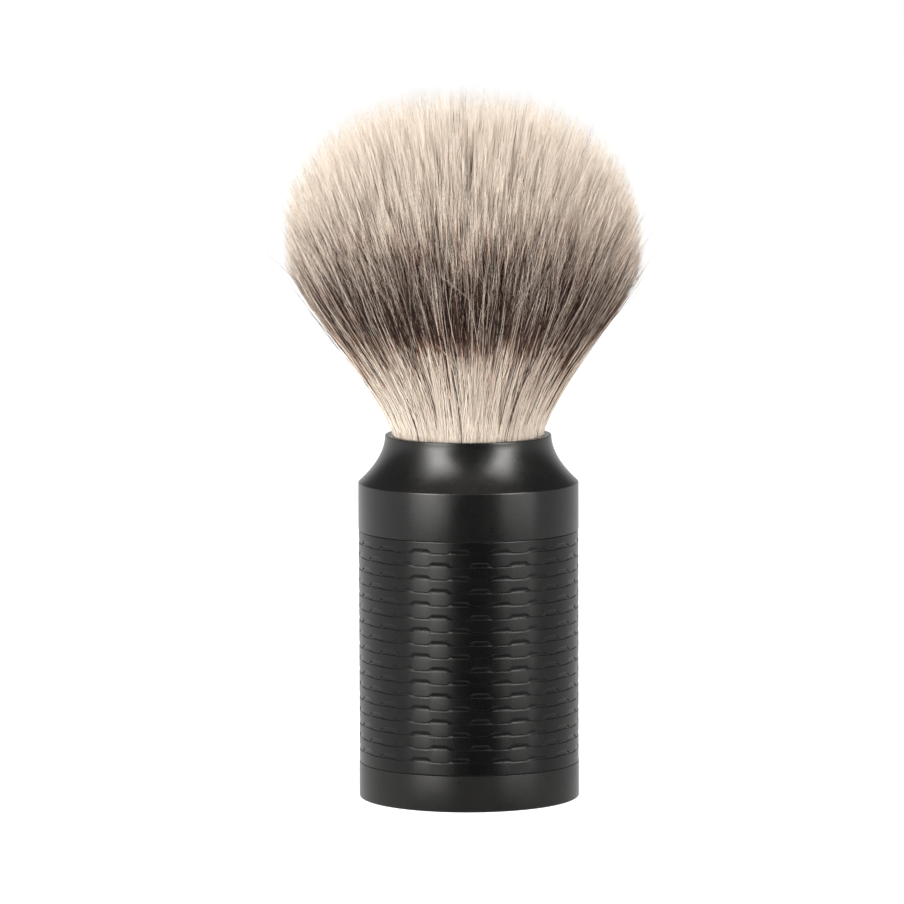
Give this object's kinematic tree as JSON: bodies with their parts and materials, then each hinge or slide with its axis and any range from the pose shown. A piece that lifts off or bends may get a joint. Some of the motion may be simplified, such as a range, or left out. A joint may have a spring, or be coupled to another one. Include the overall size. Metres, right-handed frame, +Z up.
{
  "type": "shaving brush",
  "caption": "Upright shaving brush: a fan of soft banded fibres in a flared black collar that unscrews from an engraved cylindrical grip with a flat base.",
  "frame": {"origin": "centre of the base's underside, where the brush stands", "axes": "+Z up along the brush's axis from the base to the fibre tips; the front is -Y"},
  "size_m": [0.05, 0.05, 0.0983],
  "materials": {
    "grip_black": "satin black, engraved",
    "base_black": "satin black",
    "collar_black": "semi-gloss black",
    "core_alloy": "turned",
    "bush_brass": "turned",
    "inner_steel": "turned",
    "seal_rubber": "matte",
    "ferrule_plastic": "moulded",
    "resin": "cast",
    "cotton": "twisted cord",
    "fibre": "banded fibres: cream roots, dark brown band, cream tips"
  },
  "bodies": {
    "handle": {"grip_sleeve": "grip_black", "base_cap": "base_black", "core_tube": "core_alloy", "thread_bush": "bush_brass", "ballast_slug": "inner_steel", "clamp_screw": "inner_steel", "spring_washer": "inner_steel", "base_plate": "base_black", "neck_seal": "seal_rubber", "base_seal": "seal_rubber"},
    "head_seal": {"head_seal": "seal_rubber"},
    "head": {"collar": "collar_black", "knot_ferrule": "ferrule_plastic", "resin_plug": "resin", "binding_cord": "cotton", "fibre_bundle": "fibre"}
  },
  "joints": [
    {"name": "head_lift", "type": "slide", "parent": "handle", "child": "head_seal", "axis": [0, 0, 1], "range_m": [0, 0.0074]},
    {"name": "head_turn", "type": "hinge", "parent": "head_seal", "child": "head", "pos_m": [0, 0, 0.043], "axis": [0, 0, 1], "range_deg": [0, 1320]}
  ],
  "couplings": [
    {"joint": "head_lift", "follows": "head_turn", "m_per_rad": 0.00031831}
  ]
}
